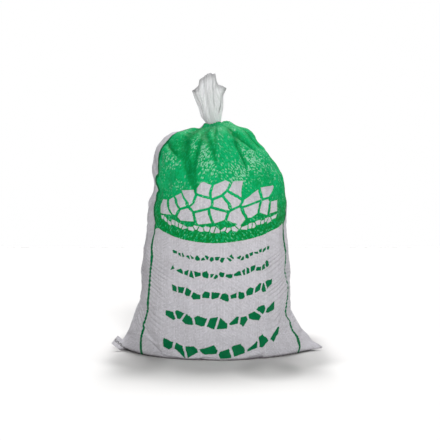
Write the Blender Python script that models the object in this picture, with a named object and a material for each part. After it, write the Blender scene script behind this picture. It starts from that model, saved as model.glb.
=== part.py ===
"""Woven polypropylene sack filled with crushed stone and tied at the neck.

Units are metres and +Z is up. The sack stands on its sewn bottom, with its
printed side facing -Y. The origin is on the ground under its middle.
"""

import math
from collections import namedtuple

import bmesh
import bpy

# Flat sack before filling: a tube of this width, sewn straight across its bottom.
FLAT_WIDTH = 0.400

# Filled sack
GIRTH_RADIUS = FLAT_WIDTH / math.pi
HALF_DEPTH = 0.124
BODY_TOP = 0.412
CLOTH_WALL = 0.0012
BOTTOM_WALL = 0.0024
PLEATS = 12

# Ears: the bottom corners that the stones do not fill
EAR_REACH = 0.193
EAR_SHARPNESS = 20
EAR_SOLID_LENGTH = 0.012
EAR_EMPTY_LENGTH = 0.010

# Creases of the dome fade out over these lengths below and above their ends
CREASE_LOW_FADE = 0.014
CREASE_TOP_FADE = 0.010
CREASE_TOP = 0.403

# Fill: the stones stop below the neck, heaped to a small flat on top
FILL_GAP = 0.0013
FILL_LID_SHARE = 0.3
FILL_LID_RISE = 0.004

# Gathered neck and the tuft above it
NECK_X, NECK_Y = -0.005, 0.008
NECK_RADIUS = 0.0125
NECK_BORE_RADIUS = 0.003
WAIST_PLEAT = 0.03
TIE_HEIGHT = 0.4175
TUFT_TOP = 0.512
TUFT_TAB_RISE = 0.029
TUFT_TAB_SHARE = 0.62

# Wire that ties the neck
WIRE_RADIUS = 0.0006
WIRE_GAP = 0.0004
TWIST_LENGTH = 0.014
TWIST_TURNS = 2.5
TWIST_STRAND_OFFSET = 0.0008
TWIST_START = 0.0022
TWIST_STEPS = 20
WIRE_LEAVES_AT = math.radians(14)
RING_STEPS = 26

# Sewing thread in the hem, under the bottom
THREAD_RADIUS = 0.00045
THREAD_HALF_LENGTH = 0.148
THREAD_GAP = 0.0003
THREAD_STEPS = 24
STITCH_BUMP = 0.0001
SLOT_BELOW = 0.002

# Mesh fineness
COLUMNS = 84
TUBE_RESOLUTION = 2
SHARP_ANGLE = math.radians(50)

# One horizontal section of the sack. The four reaches are from the section's centre.
# pointed is 1 for an ellipse and more for a lens, an ear is a tip past the reach, and
# tilt is the rise per metre towards +X and +Y.
Section = namedtuple(
    "Section",
    "height left right front back pointed ear_left ear_right pleat wall"
    " centre_x centre_y tilt_x tilt_y",
    defaults=(1.0, 0.0, 0.0, 0.0, CLOTH_WALL, 0.0, 0.0, 0.0, 0.0),
)

# One crease of the dome, running down from the neck. Angles are in degrees from +X towards +Y,
# so the middle of the printed side is at -90.
Crease = namedtuple("Crease", "top_angle low_angle low_height depth half_width top_height",
                    defaults=(CREASE_TOP,))
CREASES = [
    Crease(-140, -122, 0.340, 0.0060, 0.0100, 0.384),
    Crease(-121, -106, 0.300, 0.0080, 0.0085),
    Crease(-99, -110, 0.338, 0.0045, 0.0055),
    Crease(-97, -90, 0.338, 0.0050, 0.0055),
    Crease(-69, -60, 0.322, 0.0070, 0.0065),
    Crease(-57, -36, 0.345, 0.0055, 0.0065, 0.390),
    Crease(-45, -22, 0.338, 0.0050, 0.0070),
    Crease(-4, -7, 0.350, 0.0055, 0.0070),
    Crease(19, 23, 0.334, 0.0070, 0.0080),
    Crease(43, 39, 0.356, 0.0050, 0.0065),
    Crease(66, 69, 0.338, 0.0080, 0.0080),
    Crease(90, 87, 0.350, 0.0060, 0.0070),
    Crease(114, 118, 0.328, 0.0085, 0.0085),
    Crease(137, 134, 0.354, 0.0055, 0.0070),
    Crease(161, 165, 0.338, 0.0070, 0.0080),
    Crease(184, 181, 0.350, 0.0060, 0.0070),
]


def halfway(sections):
    """The sections with one more between each two of them."""
    result = [sections[0]]
    for lower, upper in zip(sections, sections[1:]):
        result.append(Section(*((a + b) / 2 for a, b in zip(lower, upper))))
        result.append(upper)
    return result


def body_sections():
    """Ground to shoulder: broad with two ears at the bottom, round at the girth."""
    girth = GIRTH_RADIUS
    depth = HALF_DEPTH
    foot = 0.166
    ear = EAR_REACH - foot
    return [
        Section(0.000, 0.160, 0.160, 0.112, 0.108, 1.30),
        Section(0.006, 0.163, 0.162, 0.115, 0.111, 1.35, 0.8 * ear, 0.8 * ear, tilt_x=-0.010),
        Section(0.012, foot, foot, 0.117, 0.113, 1.45, ear, ear, tilt_x=-0.020),
        Section(0.026, 0.165, 0.162, 0.117, 0.114, 1.45, 0.016, 0.008, tilt_x=-0.010),
        Section(0.042, 0.160, 0.156, 0.116, 0.114, 1.40, 0.002, 0.001),
        Section(0.075, 0.149, 0.142, 0.116, 0.115, 1.25),
        Section(0.110, 0.1415, 0.135, 0.117, 0.116, 1.10),
        Section(0.150, 0.136, 0.132, 0.118, 0.118),
        Section(0.190, 0.134, 0.132, 0.121, 0.121),
        Section(0.230, girth + 0.002, girth + 0.001, depth, depth),
        Section(0.265, 0.124, girth + 0.001, depth, depth),
        Section(0.300, 0.1165, girth + 0.0005, 0.122, 0.121),
    ]


def dome_sections():
    """Shoulder to neck: the cloth gathers in creases, and stands highest in front and right."""
    creased = [
        Section(0.330, 0.1165, 0.1190, 0.1150, 0.1140),
        Section(0.350, 0.1185, 0.1075, 0.1073, 0.1065, tilt_y=-0.01),
        Section(0.366, 0.1150, 0.0960, 0.0980, 0.0970, tilt_y=-0.02),
        Section(0.379, 0.1070, 0.0845, 0.0885, 0.0870, tilt_y=-0.03),
        Section(0.391, 0.0920, 0.0735, 0.0775, 0.0755, wall=0.0016, tilt_y=-0.05),
        Section(
            0.402, 0.0700, 0.0640, 0.0600, 0.0570, pleat=0.020, wall=0.0025,
            tilt_x=0.02, tilt_y=-0.06,
        ),
    ]
    return halfway(creased) + [
        Section(
            0.409, 0.0450, 0.0560, 0.0440, 0.0400, pleat=0.060, wall=0.0035,
            tilt_x=0.04, tilt_y=-0.08,
        ),
        Section(
            BODY_TOP, 0.022, 0.036, 0.026, 0.022, pleat=0.080, wall=0.004,
            centre_x=NECK_X, centre_y=NECK_Y, tilt_x=0.05, tilt_y=-0.06,
        ),
    ]


def neck_sections():
    """The tied waist, with the same radius a little above and below the wire."""
    waist = [NECK_RADIUS] * 4
    place = dict(pleat=WAIST_PLEAT, centre_x=NECK_X, centre_y=NECK_Y)
    bundle = NECK_RADIUS - NECK_BORE_RADIUS
    clear = 3 * WIRE_RADIUS
    return [Section(TIE_HEIGHT + side * clear, *waist, wall=bundle, **place) for side in (-1, 1)]


def tuft_sections():
    """The loose cloth above the wire, fanned out sideways and leaning to the left."""
    shoulder = TUFT_TOP - TUFT_TAB_RISE
    return [
        Section(
            0.430, 0.0175, 0.0170, 0.014, 0.014, pleat=0.10, wall=0.010,
            centre_x=-0.0085, centre_y=NECK_Y,
        ),
        Section(
            0.450, 0.0210, 0.0205, 0.016, 0.016, 1.1, pleat=0.14, wall=0.012,
            centre_x=-0.0103, centre_y=NECK_Y,
        ),
        Section(
            0.468, 0.0240, 0.0235, 0.016, 0.016, 1.3, pleat=0.16, wall=0.012,
            centre_x=-0.0130, centre_y=0.007,
        ),
        Section(
            shoulder, 0.0285, 0.0285, 0.017, 0.017, 1.5, pleat=0.16, wall=0.013,
            centre_x=-0.0131, centre_y=0.006,
        ),
    ]


def crease_depth(section, angle):
    """How far the creases take the cloth in at this place."""
    radius = (section.left + section.right + section.front + section.back) / 4
    deepest = 0.0
    for c in CREASES:
        below = (section.height - c.low_height + CREASE_LOW_FADE) / CREASE_LOW_FADE
        above = (c.top_height + CREASE_TOP_FADE - section.height) / CREASE_TOP_FADE
        reach = max(0.0, min(1.0, below, above))
        run = (section.height - c.low_height) / (c.top_height - c.low_height)
        middle = math.radians(c.low_angle + (c.top_angle - c.low_angle) * run)
        apart = abs(math.remainder(angle - middle, math.tau)) * radius
        deepest = max(deepest, c.depth * reach * math.exp(-((apart / c.half_width) ** 2)))
    return deepest


def ring_points(section, inset=0.0, ear_trim=0.0):
    """Corner points of one section. Taken in by inset, it is smooth inside pleats and creases.

    ear_trim also shortens the ears, where the two layers of cloth lie together.
    """
    s = section
    angles = [math.tau * i / COLUMNS for i in range(COLUMNS)]
    creases = [crease_depth(s, angle) for angle in angles]
    points = []
    for angle, crease in zip(angles, creases):
        across, along = math.cos(angle), math.sin(angle)
        wave = math.cos(PLEATS * angle) if inset == 0.0 else -1.0
        pleat = 1.0 + s.pleat * wave
        taken_in = crease if inset == 0.0 else inset + max(creases)
        reach_x = (s.right if across > 0 else s.left) * pleat - taken_in
        reach_y = (s.back if along > 0 else s.front) * pleat - taken_in
        ear = max(0.0, (s.ear_right if across > 0 else s.ear_left) - ear_trim)
        tip = math.copysign(ear * abs(across) ** EAR_SHARPNESS, across)
        x = s.centre_x + reach_x * across + tip
        y = s.centre_y + math.copysign(reach_y * abs(along) ** s.pointed, along)
        points.append((x, y, s.height + s.tilt_x * x + s.tilt_y * y))
    return points


def raise_tab(points):
    """The middle of the mouth stands up as a tab between two side points."""
    middle = sum(p[0] for p in points) / len(points)
    reach = max(abs(p[0] - middle) for p in points)
    raised = []
    for x, y, z in points:
        share = max(0.0, 1.0 - ((x - middle) / (TUFT_TAB_SHARE * reach)) ** 4)
        raised.append((x, y, z + TUFT_TAB_RISE * share))
    return raised


def loft(name, rings):
    """A closed solid through the rings in order, with a flat cap on the first and the last."""
    bm = bmesh.new()
    loops = []
    for ring in rings:
        corners = [bm.verts.new(point) for point in ring]
        loops.append([bm.edges.new((corners[i - 1], corners[i])) for i in range(len(corners))])
    for lower, upper in zip(loops, loops[1:]):
        bmesh.ops.bridge_loops(bm, edges=lower + upper)
    bmesh.ops.contextual_create(bm, geom=loops[0])
    bmesh.ops.contextual_create(bm, geom=loops[-1])
    bmesh.ops.recalc_face_normals(bm, faces=bm.faces[:])
    mesh = bpy.data.meshes.new(name)
    bm.to_mesh(mesh)
    bm.free()
    mesh.shade_smooth()
    mesh.set_sharp_from_angle(angle=SHARP_ANGLE)
    return bpy.data.objects.new(name, mesh)


def material(name, colour, roughness, metallic=0.0):
    mat = bpy.data.materials.new(name)
    mat.use_nodes = True
    shader = mat.node_tree.nodes["Principled BSDF"]
    shader.inputs["Base Color"].default_value = (*colour, 1.0)
    shader.inputs["Roughness"].default_value = roughness
    shader.inputs["Metallic"].default_value = metallic
    return mat


def woven_sack(sections):
    """The cloth: outer rings from the ground up to the mouth, then inner rings back down."""
    outer = [ring_points(s) for s in sections]
    inner = [ring_points(s, s.wall, EAR_SOLID_LENGTH) for s in sections[1:]]
    outer[-1] = raise_tab(outer[-1])
    inner[-1] = raise_tab(inner[-1])
    floor = ring_points(sections[0], CLOTH_WALL, EAR_SOLID_LENGTH)
    floor = [(x, y, BOTTOM_WALL) for x, y, z in floor]
    return loft("woven_sack", outer + inner[::-1] + [floor])


def crushed_stone_fill(sections):
    """The stones as one core that fills the cloth up to the start of the neck."""
    trim = EAR_SOLID_LENGTH + EAR_EMPTY_LENGTH
    rings = [ring_points(s, s.wall + FILL_GAP, trim) for s in sections[1:]]
    floor = ring_points(sections[0], CLOTH_WALL + FILL_GAP, trim)
    rings.insert(0, [(x, y, BOTTOM_WALL + FILL_GAP) for x, y, z in floor])
    lid = [(x * FILL_LID_SHARE, y * FILL_LID_SHARE, z + FILL_LID_RISE) for x, y, z in rings[-1]]
    rings.append(lid)
    return loft("crushed_stone_fill", rings)


def tube(name, points, radius):
    curve = bpy.data.curves.new(name, "CURVE")
    curve.dimensions = "3D"
    curve.bevel_depth = radius
    curve.bevel_resolution = TUBE_RESOLUTION
    curve.use_fill_caps = True
    spline = curve.splines.new("POLY")
    spline.points.add(len(points) - 1)
    for point, place in zip(spline.points, points):
        point.co = (*place, 1.0)
    return bpy.data.objects.new(name, curve)


def neck_tie():
    """One wire: in along the twist, once round the neck, and out along the twist again."""
    ring = NECK_RADIUS * (1.0 + WAIST_PLEAT) + WIRE_GAP + WIRE_RADIUS

    def twist(side):
        strand = []
        for i in range(TWIST_STEPS + 1):
            share = i / TWIST_STEPS
            turn = math.tau * TWIST_TURNS * share
            x = side * TWIST_STRAND_OFFSET * math.cos(turn)
            z = side * TWIST_STRAND_OFFSET * math.sin(turn)
            strand.append((x, ring + TWIST_START + TWIST_LENGTH * share, z))
        return strand

    around = []
    for i in range(RING_STEPS + 1):
        share = i / RING_STEPS
        angle = math.pi / 2 + WIRE_LEAVES_AT + (math.tau - 2 * WIRE_LEAVES_AT) * share
        around.append((ring * math.cos(angle), ring * math.sin(angle), 0.0))
    route = twist(-1)[::-1] + around + twist(1)
    placed = [(x + NECK_X, y + NECK_Y, z + TIE_HEIGHT) for x, y, z in route]
    return tube("neck_tie", placed, WIRE_RADIUS)


def hem_thread():
    """The chain stitch that closes the bottom, as one thread along its slot in the hem."""
    points = []
    for i in range(THREAD_STEPS + 1):
        x = THREAD_HALF_LENGTH * (2 * i / THREAD_STEPS - 1)
        stitch = STITCH_BUMP * (1.0 + 0.5 * (-1) ** i)
        points.append((x, 0.0, THREAD_RADIUS + stitch))
    return tube("hem_thread", points, THREAD_RADIUS)


def cut_thread_slot(sack, cutters):
    """A shallow slot under the bottom, where the folded hem holds the thread."""
    width = 2 * (THREAD_RADIUS + THREAD_GAP)
    length = 2 * (THREAD_HALF_LENGTH + THREAD_GAP)
    top = 2 * THREAD_RADIUS + 1.5 * STITCH_BUMP + THREAD_GAP
    bm = bmesh.new()
    bmesh.ops.create_cube(bm, size=1.0)
    bmesh.ops.scale(bm, vec=(length, width, top + SLOT_BELOW), verts=bm.verts)
    bmesh.ops.translate(bm, vec=(0, 0, (top - SLOT_BELOW) / 2), verts=bm.verts)
    mesh = bpy.data.meshes.new("thread_slot")
    bm.to_mesh(mesh)
    bm.free()
    slot = bpy.data.objects.new("thread_slot", mesh)
    slot.hide_render = True
    slot.display_type = "WIRE"
    cutters.objects.link(slot)
    cut = sack.modifiers.new("thread_slot", "BOOLEAN")
    cut.operation = "DIFFERENCE"
    cut.object = slot


def new_collection(name):
    collection = bpy.data.collections.new(name)
    bpy.context.scene.collection.children.link(collection)
    return collection


def main():
    for obj in list(bpy.data.objects):
        bpy.data.objects.remove(obj)
    parts = new_collection("bag_of_crushed_stone")
    cutters = new_collection("cutters")

    filled = body_sections() + dome_sections()[:-2]
    whole = body_sections() + dome_sections() + neck_sections() + tuft_sections()
    sack = woven_sack(whole)
    finishes = {
        sack: material("woven_cloth", (0.62, 0.61, 0.63), 0.45),
        crushed_stone_fill(filled): material("crushed_stone", (0.32, 0.31, 0.29), 0.9),
        neck_tie(): material("tie_wire", (0.55, 0.56, 0.57), 0.35, 1.0),
        hem_thread(): material("sewing_thread", (0.10, 0.095, 0.095), 0.8),
    }
    for obj, finish in finishes.items():
        parts.objects.link(obj)
        obj.data.materials.append(finish)
    cut_thread_slot(sack, cutters)


main()
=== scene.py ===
import math

import bmesh
import bpy
import numpy as np
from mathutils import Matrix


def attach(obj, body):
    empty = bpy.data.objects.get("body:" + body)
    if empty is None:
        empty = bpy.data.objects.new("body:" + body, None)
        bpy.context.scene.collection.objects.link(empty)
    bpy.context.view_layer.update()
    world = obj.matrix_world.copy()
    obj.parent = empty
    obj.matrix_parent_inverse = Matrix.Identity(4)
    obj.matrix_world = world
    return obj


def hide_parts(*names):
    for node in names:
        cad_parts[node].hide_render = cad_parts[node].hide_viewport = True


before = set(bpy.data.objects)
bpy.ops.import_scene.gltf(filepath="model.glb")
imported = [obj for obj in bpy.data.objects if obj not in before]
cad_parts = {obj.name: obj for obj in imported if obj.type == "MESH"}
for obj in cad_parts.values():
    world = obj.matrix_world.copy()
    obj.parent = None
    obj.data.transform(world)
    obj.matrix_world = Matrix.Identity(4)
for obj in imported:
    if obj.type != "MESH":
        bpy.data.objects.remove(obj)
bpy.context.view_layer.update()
print("frame loaded:", ", ".join(sorted(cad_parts)))

# The sack is one woven tube. u runs round it, 0 at the front centre and positive to the
# right, and v runs up the cloth from the bottom seam to the mouth, both in metres.
sack = {
    "flatWidth": 0.400,
    "seamToTie": 0.635,
    "tuftLength": 0.095,
    "columns": 240,
    "floorRows": 14,
    "bodyRows": 334,
    "tuftRows": 38,
    "insideRows": 12,
    "floorLength": 0.100,
    "floorRings": 24,
    "sectionValues": 14,
    "sectionSteps": 14,
    "earSharpness": 20,
    "earFlatness": 0.8,
    "earLeast": 0.002,
    "mouthWall": 0.0007,
    "floorGap": 0.0004,
    "hemRoom": 0.0024,
    "seamRise": 24,
    "printHalf": 0.150,
}

# Sections from the ground to the tie: height, reach to the left, right, front and back,
# how lens-shaped, ear to the left and right, ear lift to the left and right,
# centre x and y, rise per metre towards +X and +Y. What a row leaves out is 0
bodySections = [
    (0.0004, 0.1600, 0.1600, 0.1160, 0.1080, 1.30, 0.022, 0.037, 0.0100, 0.0045),
    (0.0030, 0.1620, 0.1610, 0.1185, 0.1110, 1.33, 0.021, 0.035, 0.0090, 0.0032),
    (0.0080, 0.1640, 0.1630, 0.1200, 0.1130, 1.38, 0.017, 0.028, 0.0060, 0.0022),
    (0.0160, 0.1650, 0.1630, 0.1200, 0.1145, 1.42, 0.010, 0.0135, 0.0030, 0.0030),
    (0.0300, 0.1640, 0.1635, 0.1195, 0.1150, 1.42, 0.003, 0.005),
    (0.0420, 0.1600, 0.1555, 0.1185, 0.1150, 1.38, 0.001, 0.001),
    (0.0530, 0.1570, 0.1505, 0.1165, 0.1145, 1.33),
    (0.0750, 0.1490, 0.1385, 0.1150, 0.1135, 1.22),
    (0.0950, 0.1420, 0.1375, 0.1145, 0.1135, 1.13),
    (0.1200, 0.1375, 0.1385, 0.1145, 0.1140, 1.05),
    (0.1500, 0.1365, 0.1355, 0.1155, 0.1150, 1.00),
    (0.1850, 0.1350, 0.1330, 0.1175, 0.1175, 1.00),
    (0.2100, 0.1315, 0.1300, 0.1195, 0.1195, 1.00),
    (0.2350, 0.1283, 0.1294, 0.1203, 0.1203, 1.00),
    (0.2620, 0.1260, 0.1294, 0.1203, 0.1203, 1.00),
    (0.2850, 0.1172, 0.1280, 0.1193, 0.1193, 1.00),
    (0.3000, 0.1128, 0.1270, 0.1185, 0.1180, 1.00),
    (0.3150, 0.1135, 0.1235, 0.1165, 0.1155, 1.00),
    (0.3300, 0.1165, 0.1165, 0.1130, 0.1120, 1.00),
    (0.3450, 0.1185, 0.1085, 0.1080, 0.1075, 1.00, 0, 0, 0, 0, 0, 0, 0, -0.01),
    (0.3580, 0.1175, 0.0965, 0.1030, 0.1020, 1.00, 0, 0, 0, 0, 0, 0, 0, -0.01),
    (0.3700, 0.1115, 0.0868, 0.0955, 0.0945, 1.00, 0, 0, 0, 0, 0, 0, 0, -0.02),
    (0.3820, 0.1032, 0.0763, 0.0865, 0.0850, 1.00, 0, 0, 0, 0, 0, 0, 0, -0.03),
    (0.3920, 0.0920, 0.0708, 0.0760, 0.0740, 1.00, 0, 0, 0, 0, 0, 0, 0, -0.05),
    (0.4005, 0.0717, 0.0628, 0.0630, 0.0600, 1.00, 0, 0, 0, 0, 0, 0, 0.02, -0.06),
    (0.4075, 0.0478, 0.0465, 0.0480, 0.0440, 1.00, 0, 0, 0, 0, 0, 0, 0.03, -0.08),
    (0.4120, 0.0345, 0.0360, 0.0370, 0.0330, 1.00, 0, 0, 0, 0, -0.001, 0.003, 0.04, -0.10),
    (0.4150, 0.0280, 0.0330, 0.0290, 0.0240, 1.00, 0, 0, 0, 0, -0.003, 0.006, 0.05, -0.10),
    (0.4158, 0.0180, 0.0225, 0.0200, 0.0165, 1.00, 0, 0, 0, 0, -0.005, 0.008, 0.05, -0.08),
    (0.4158, 0.0128, 0.0128, 0.0128, 0.0128, 1.00, 0, 0, 0, 0, -0.005, 0.008),
    (0.4180, 0.0126, 0.0126, 0.0126, 0.0126, 1.00, 0, 0, 0, 0, -0.005, 0.008),
]

# Sections of the tuft above the tie, in the same columns
tuftSections = [
    (0.4180, 0.0126, 0.0126, 0.0126, 0.0126, 1.00, 0, 0, 0, 0, -0.0050, 0.008),
    (0.4240, 0.0148, 0.0145, 0.0132, 0.0132, 1.00, 0, 0, 0, 0, -0.0068, 0.008),
    (0.4320, 0.0176, 0.0170, 0.0145, 0.0145, 1.00, 0, 0, 0, 0, -0.0086, 0.008),
    (0.4410, 0.0195, 0.0190, 0.0155, 0.0155, 1.03, 0, 0, 0, 0, -0.0094, 0.008),
    (0.4510, 0.0217, 0.0212, 0.0160, 0.0160, 1.06, 0, 0, 0, 0, -0.0103, 0.008),
    (0.4610, 0.0238, 0.0228, 0.0163, 0.0163, 1.10, 0, 0, 0, 0, -0.0119, 0.007),
    (0.4710, 0.0266, 0.0252, 0.0166, 0.0166, 1.20, 0, 0, 0, 0, -0.0135, 0.007),
    (0.4790, 0.0296, 0.0290, 0.0135, 0.0135, 1.30, 0, 0, 0, 0, -0.0133, 0.006),
    (0.4840, 0.0316, 0.0314, 0.0095, 0.0095, 1.35, 0, 0, 0, 0, -0.0131, 0.006),
]

# How far the torn mouth stands above the last section, at places from left to right
mouthRise = [
    (-0.0447, -0.0030), (-0.0400, -0.0005), (-0.0335, 0.0035), (-0.0316, 0.0150),
    (-0.0240, 0.0222), (-0.0110, 0.0278), (-0.0070, 0.0262), (-0.0024, 0.0278), (0.0006, 0.0120),
    (0.0036, 0.0080), (0.0127, 0.0040), (0.0185, 0.0012),
]

# Humps of the gathered front that stand up before the tie: x, height and half width of each
humps = {
    "each": [(0.004, 0.0085, 0.012), (-0.021, 0.0070, 0.011), (0.021, 0.0075, 0.011)],
    "y": -0.016,
    "depth": 0.0095,
    "rise": (0.392, 0.406),
    "below": 0.4178,
}

# Where the print's side edges lie round the sack, as (v, left u, right u): the sack twists, and
# its upper part is gathered more behind than in front
printEdges = [
    (0.036, -0.1270, 0.1400), (0.057, -0.1265, 0.1490), (0.079, -0.1245, 0.1433),
    (0.100, -0.1250, 0.1400), (0.119, -0.1265, 0.1405), (0.134, -0.1290, 0.1467),
    (0.155, -0.1300, 0.1500), (0.200, -0.1325, 0.1515), (0.250, -0.1300, 0.1533),
    (0.327, -0.1330, 0.1540), (0.347, -0.1390, 0.1600), (0.368, -0.1440, 0.1660),
    (0.385, -0.1510, 0.1710), (0.396, -0.1500, 0.1745), (0.404, -0.1450, 0.1780),
    (0.424, -0.1550, 0.1870), (0.448, -0.1440, 0.1920), (0.476, -0.1390, 0.1950),
    (0.502, -0.1320, 0.1990), (0.530, -0.1240, 0.2040), (0.555, -0.1120, 0.2100),
    (0.635, -0.0950, 0.2100),
]

# Creases of the dome: the line as (u, v) from the neck downwards, half width, depth, and how
# far it leans: towards 1 its right side is the gentle one, towards -1 its left side
frontCreases = [
    ([(-0.020, 0.590), (-0.029, 0.545), (-0.037, 0.506), (-0.042, 0.478), (-0.043, 0.440)],
     0.0030, 0.0050, 0.2),
    ([(-0.026, 0.552), (-0.017, 0.530), (-0.007, 0.510), (-0.001, 0.487), (0.001, 0.462)],
     0.0042, 0.0058, -0.4),
    ([(-0.003, 0.612), (-0.004, 0.570), (-0.003, 0.530), (-0.001, 0.495)],
     0.0026, 0.0045, 0.0),
    ([(0.020, 0.615), (0.040, 0.575), (0.050, 0.558), (0.060, 0.538), (0.057, 0.508)],
     0.0050, 0.0070, -0.3),
    ([(0.057, 0.528), (0.057, 0.505), (0.061, 0.485), (0.068, 0.455)],
     0.0038, 0.0070, -0.5),
    ([(0.056, 0.552), (0.078, 0.527), (0.100, 0.504), (0.118, 0.487)],
     0.0050, 0.0055, 0.3),
    ([(-0.030, 0.612), (-0.066, 0.560), (-0.072, 0.530), (-0.064, 0.497), (-0.058, 0.465),
      (-0.044, 0.432), (-0.034, 0.410)],
     0.0070, 0.0085, 0.3),
    ([(-0.128, 0.520), (-0.108, 0.503), (-0.085, 0.492), (-0.062, 0.478)],
     0.0060, 0.0070, 0.5),
    ([(0.070, 0.612), (0.105, 0.575), (0.132, 0.530), (0.150, 0.485)],
     0.0050, 0.0048, -0.2),
    ([(0.060, 0.432), (0.090, 0.440), (0.118, 0.452), (0.140, 0.470)],
     0.0120, 0.0030, 0.0),
]

# Creases round the sides and the back: u at the neck and at the low end, v of the low end,
# half width and depth
backCreases = [
    (0.191, 0.184, 0.487, 0.0044, 0.0055), (0.242, 0.251, 0.473, 0.0050, 0.0072),
    (0.296, 0.287, 0.499, 0.0040, 0.0052), (0.347, 0.353, 0.476, 0.0050, 0.0082),
    (0.400, 0.393, 0.487, 0.0044, 0.0060), (0.453, 0.462, 0.462, 0.0054, 0.0088),
    (0.504, 0.498, 0.496, 0.0042, 0.0056), (0.558, 0.567, 0.476, 0.0050, 0.0072),
    (0.609, 0.602, 0.487, 0.0044, 0.0060),
]

# Creases of the tuft, in the same way as those in front
tuftCreases = [
    ([(0.024, 0.730), (0.034, 0.715), (0.037, 0.700), (0.040, 0.680), (0.036, 0.655)],
     0.0011, 0.0024, 0.0),
    ([(0.195, 0.724), (0.168, 0.696), (0.135, 0.673), (0.113, 0.648)],
     0.0022, 0.0036, -0.4),
    ([(-0.050, 0.728), (-0.055, 0.710), (-0.077, 0.692), (-0.093, 0.655)],
     0.0024, 0.0016, 0.4),
    ([(0.075, 0.722), (0.080, 0.700), (0.082, 0.670), (0.070, 0.645)],
     0.0020, 0.0012, 0.0),
]

# Lobes between the creases, where a painted highlight speckles the ink pale: middle, half size
# and share
paintedHighlights = [
    ((-0.021, 0.503), (0.017, 0.027), 1.0), ((-0.017, 0.466), (0.020, 0.018), 0.5),
    ((0.082, 0.484), (0.022, 0.025), 1.0), ((0.047, 0.455), (0.021, 0.018), 0.8),
    ((-0.088, 0.480), (0.021, 0.015), 0.7), ((-0.046, 0.524), (0.010, 0.022), 0.6),
    ((-0.012, 0.568), (0.026, 0.016), 0.1), ((0.024, 0.545), (0.020, 0.022), 0.1),
    ((0.125, 0.452), (0.025, 0.025), 0.4), ((-0.060, 0.420), (0.030, 0.020), 0.3),
]

# Places painted a deeper green as shade, in the same way
paintedShadePatches = [
    ((-0.084, 0.512), (0.020, 0.015), 0.8), ((0.090, 0.436), (0.026, 0.020), 0.6),
    ((0.060, 0.530), (0.012, 0.016), 0.6), ((-0.010, 0.524), (0.006, 0.012), 0.7),
]

folds = {
    # how a crease starts and ends along its line, and how round its valley is
    "creaseStart": (-0.004, 0.016),
    "creaseEnd": (-0.034, 0.002),
    "valley": 0.3,
    "backTop": 0.615,
    "neckCreases": 40,
    "neckDepth": 0.0034,
    "neckWidth": (0.0014, 0.0026),
    "neckReach": (0.548, 0.580),
    # the crimps start, are full, fade and end to the right, to the left and above the ground
    "crimpRight": (0.055, 0.115, 0.26, 0.36),
    "crimpLeft": (0.060, 0.115, 0.26, 0.36),
    "crimpLevel": (0.028, 0.060, 0.150, 0.225),
    "crimpHeight": 0.0013,
    "crimpStep": 0.0086,
    # heights of the other relief, and its shortest and longest waves
    "lumps": (0.0007, (0.022, 0.050)),
    "ripple": (0.00016, (0.010, 0.024)),
    "tuftRidges": (0.0009, (0.045, 0.110)),
    "tuftRipple": (0.00005, (0.012, 0.028)),
    "neckRipple": 0.00025,
    # the deepest that a crease may be at each height
    "deepestHeights": (0.26, 0.31, 0.34, 0.37, 0.405),
    "deepest": (0.0020, 0.0045, 0.0075, 0.0095, 0.0100),
    # from which depth to which depth a valley is painted darker as shade: in the dome, the tuft
    # and the crimps
    "domeShade": (0.0012, 0.0050),
    "tuftShade": (0.0010, 0.0026),
    "crimpShade": (-0.00006, 0.0006),
    "seed": 11,
}


def smoothTable(table, steps):
    # Rows between the rows of a table, on a Catmull-Rom curve
    rows = np.array(table, float)
    ends = np.vstack([2 * rows[0] - rows[1], rows, 2 * rows[-1] - rows[-2]])
    between = []
    for a, b, c, d in zip(ends, ends[1:], ends[2:], ends[3:]):
        for s in np.arange(steps) / steps:
            curve = 2 * b + (c - a) * s + (2 * a - 5 * b + 4 * c - d) * s**2
            between.append(0.5 * (curve + (3 * b - a - 3 * c + d) * s**3))
    return np.array(between + [rows[-1]])


def columnAngles():
    # The cloth's columns start and end at the back centre, and pass left, front and right
    return math.pi / 2 + math.tau * np.arange(sack["columns"] + 1) / sack["columns"]


def columnU():
    return np.linspace(-1, 1, sack["columns"] + 1) * sack["flatWidth"]


def ringPoints(sections):
    # Closed rings of points along a table of sections
    full = [row + (0,) * (sack["sectionValues"] - len(row)) for row in sections]
    columns = smoothTable(full, sack["sectionSteps"]).T[..., None]
    height, left, right, front, back, pointed = columns[:6]
    earL, earR, liftL, liftR, midX, midY, tiltX, tiltY = columns[6:]
    across, along = np.cos(columnAngles())[None], np.sin(columnAngles())[None]
    spike = np.abs(across) ** sack["earSharpness"]
    onRight = across > 0
    x = np.where(onRight, right, left) * across
    x = x + np.where(onRight, earR, -earL) * spike
    thin = 1 - sack["earFlatness"] * spike * (np.where(onRight, earR, earL) > sack["earLeast"])
    y = np.where(along > 0, back, front) * np.sign(along) * np.abs(along) ** pointed * thin
    x, y = x + midX, y + midY
    z = height + np.where(onRight, liftR, liftL) * spike + tiltX * x + tiltY * y
    return np.stack([x, y, z], axis=-1)


def floorRings(firstRing):
    # From the bottom seam, a straight line between the ears, out to the first ring
    u = columnU()
    share = 1 - np.abs(np.abs(u) / (sack["flatWidth"] / 2) - 1)
    quarter = sack["columns"] // 4
    tipLeft, tipRight = firstRing[quarter], firstRing[3 * quarter]
    seam = np.zeros_like(firstRing)
    seam[:, 0] = np.where(u > 0, share * tipRight[0], share * tipLeft[0])
    lifted = share ** sack["seamRise"]
    seam[:, 2] = firstRing[0, 2] + np.where(u > 0, tipRight[2], tipLeft[2]) * lifted
    seam[:, 2] += sack["hemRoom"] * (1 - lifted)
    out = np.arange(sack["floorRings"]) / sack["floorRings"]
    return seam[None] + (firstRing - seam)[None] * out[:, None, None]


def lengthsAlong(points, axis):
    # How far each point lies from the first one of its row or column
    steps = np.linalg.norm(np.diff(points, axis=axis), axis=-1)
    return np.insert(np.cumsum(steps, axis=axis), 0, 0, axis=axis)


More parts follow.
